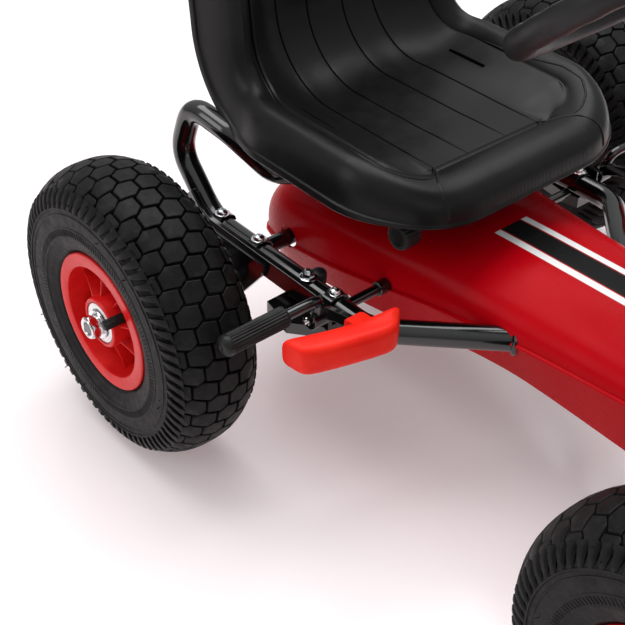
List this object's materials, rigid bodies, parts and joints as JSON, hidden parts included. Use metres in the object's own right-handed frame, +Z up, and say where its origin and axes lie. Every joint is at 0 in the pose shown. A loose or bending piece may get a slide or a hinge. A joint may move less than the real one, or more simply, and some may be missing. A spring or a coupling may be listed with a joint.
{
  "type": "pedal go kart",
  "caption": "Child's pedal go kart: tubular chassis with side loops, red chain hull, bucket seat on a slide, linked steering, pneumatic wheels and hand-lever tyre brakes.",
  "frame": {"origin": "on the floor, at the middle of the outer box", "axes": "+Z up, the kart faces -Y, its right-hand side is -X"},
  "size_m": [0.64, 0.946, 0.548],
  "materials": {
    "black_paint": "gloss",
    "red_hull": "gloss",
    "red_rim": "satin",
    "tyre": "matt",
    "zinc": "zinc plated",
    "moulded_black": "fine grain",
    "orange_red": "satin",
    "rubber": "ribbed"
  },
  "bodies": {
    "chassis": {"main_beam": "black_paint", "side_loop_right": "black_paint", "side_loop_left": "black_paint", "side_bar_right": "black_paint", "side_bar_left": "black_paint", "cross_rod_right": "black_paint", "cross_rod_left": "black_paint", "front_beam_right": "black_paint", "front_beam_left": "black_paint", "axle_carrier_right": "black_paint", "axle_carrier_left": "black_paint", "brake_mount_right": "black_paint", "brake_mount_left": "black_paint", "seat_track": "black_paint", "steering_bush": "black_paint", "crank_housing": "black_paint", "hull": "red_hull", "bumper": "black_paint", "chain": "zinc"},
    "rear_axle": {"rear_axle": "black_paint", "rear_sprocket": "black_paint", "tyre_rear_right": "tyre", "rim_rear_right": "red_rim", "bearing_outer_rear_right": "zinc", "bearing_inner_rear_right": "zinc", "hub_nut_rear_right": "zinc", "hub_nut_rear_left": "zinc"},
    "wheel_rear_left": {"tyre_rear_left": "tyre", "rim_rear_left": "red_rim", "bearing_outer_rear_left": "zinc", "bearing_inner_rear_left": "zinc"},
    "crank": {"crankshaft": "black_paint", "front_sprocket": "black_paint"},
    "pedal_left": {"pedal_left": "moulded_black"},
    "pedal_right": {"pedal_right": "moulded_black"},
    "steering": {"steering_column": "black_paint", "steering_wheel": "moulded_black"},
    "knuckle_right": {"knuckle_right": "black_paint", "hub_nut_front_right": "zinc"},
    "knuckle_left": {"knuckle_left": "black_paint", "hub_nut_front_left": "zinc"},
    "tie_rod_right": {"tie_rod_right": "black_paint"},
    "tie_rod_left": {"tie_rod_left": "black_paint"},
    "wheel_front_right": {"tyre_front_right": "tyre", "rim_front_right": "red_rim", "bearing_outer_front_right": "zinc", "bearing_inner_front_right": "zinc"},
    "wheel_front_left": {"tyre_front_left": "tyre", "rim_front_left": "red_rim", "bearing_outer_front_left": "zinc", "bearing_inner_front_left": "zinc"},
    "brake_right": {"brake_lever_right": "black_paint", "brake_sleeve_right": "rubber", "brake_handle_right": "orange_red"},
    "brake_left": {"brake_lever_left": "black_paint", "brake_sleeve_left": "rubber", "brake_handle_left": "orange_red"},
    "seat": {"seat": "moulded_black", "seat_slider": "black_paint"},
    "seat_knob": {"seat_knob": "moulded_black"}
  },
  "joints": [
    {"name": "rear_axle_spin", "type": "hinge", "parent": "chassis", "child": "rear_axle", "pos_m": [0, 0.343, 0.13], "axis": [1, 0, 0], "continuous": true},
    {"name": "wheel_rear_left_spin", "type": "hinge", "parent": "rear_axle", "child": "wheel_rear_left", "pos_m": [0.266, 0.343, 0.13], "axis": [1, 0, 0], "continuous": true},
    {"name": "crank_spin", "type": "hinge", "parent": "chassis", "child": "crank", "pos_m": [0, -0.335, 0.165], "axis": [1, 0, 0], "continuous": true},
    {"name": "pedal_left_spin", "type": "hinge", "parent": "crank", "child": "pedal_left", "pos_m": [0.095, -0.255, 0.165], "axis": [1, 0, 0], "continuous": true},
    {"name": "pedal_right_spin", "type": "hinge", "parent": "crank", "child": "pedal_right", "pos_m": [-0.095, -0.415, 0.165], "axis": [1, 0, 0], "continuous": true},
    {"name": "steering_turn", "type": "hinge", "parent": "chassis", "child": "steering", "pos_m": [0, -0.172, 0.188], "axis": [0, 0.6428, 0.766], "range_deg": [-32, 32]},
    {"name": "knuckle_right_turn", "type": "hinge", "parent": "chassis", "child": "knuckle_right", "pos_m": [-0.162, -0.193, 0.13], "axis": [0, 0, 1], "range_deg": [-18, 18]},
    {"name": "tie_rod_right_turn", "type": "hinge", "parent": "knuckle_right", "child": "tie_rod_right", "pos_m": [-0.162, -0.157, 0.156], "axis": [0, 0, 1], "range_deg": [-18, 18]},
    {"name": "wheel_front_right_spin", "type": "hinge", "parent": "knuckle_right", "child": "wheel_front_right", "pos_m": [-0.216, -0.193, 0.13], "axis": [1, 0, 0], "continuous": true},
    {"name": "brake_right_pull", "type": "hinge", "parent": "chassis", "child": "brake_right", "pos_m": [-0.177, 0.214, 0.152], "axis": [-1, 0, 0], "range_deg": [0, 13]},
    {"name": "knuckle_left_turn", "type": "hinge", "parent": "chassis", "child": "knuckle_left", "pos_m": [0.162, -0.193, 0.13], "axis": [0, 0, 1], "range_deg": [-18, 18]},
    {"name": "tie_rod_left_turn", "type": "hinge", "parent": "knuckle_left", "child": "tie_rod_left", "pos_m": [0.162, -0.157, 0.156], "axis": [0, 0, 1], "range_deg": [-18, 18]},
    {"name": "wheel_front_left_spin", "type": "hinge", "parent": "knuckle_left", "child": "wheel_front_left", "pos_m": [0.216, -0.193, 0.13], "axis": [1, 0, 0], "continuous": true},
    {"name": "brake_left_pull", "type": "hinge", "parent": "chassis", "child": "brake_left", "pos_m": [0.177, 0.214, 0.152], "axis": [-1, 0, 0], "range_deg": [0, 13]},
    {"name": "seat_slide", "type": "slide", "parent": "chassis", "child": "seat", "axis": [0, -1, 0], "range_m": [0, 0.08]},
    {"name": "seat_knob_turn", "type": "hinge", "parent": "seat", "child": "seat_knob", "pos_m": [-0.1, 0.195, 0.21], "axis": [1, 0, 0], "continuous": true}
  ],
  "couplings": [
    {"joint": "crank_spin", "follows": "rear_axle_spin", "ratio": 0.66667},
    {"joint": "knuckle_right_turn", "follows": "steering_turn", "ratio": 0.5556},
    {"joint": "tie_rod_right_turn", "follows": "steering_turn", "ratio": -0.5556},
    {"joint": "knuckle_left_turn", "follows": "steering_turn", "ratio": 0.5556},
    {"joint": "tie_rod_left_turn", "follows": "steering_turn", "ratio": -0.5556}
  ]
}
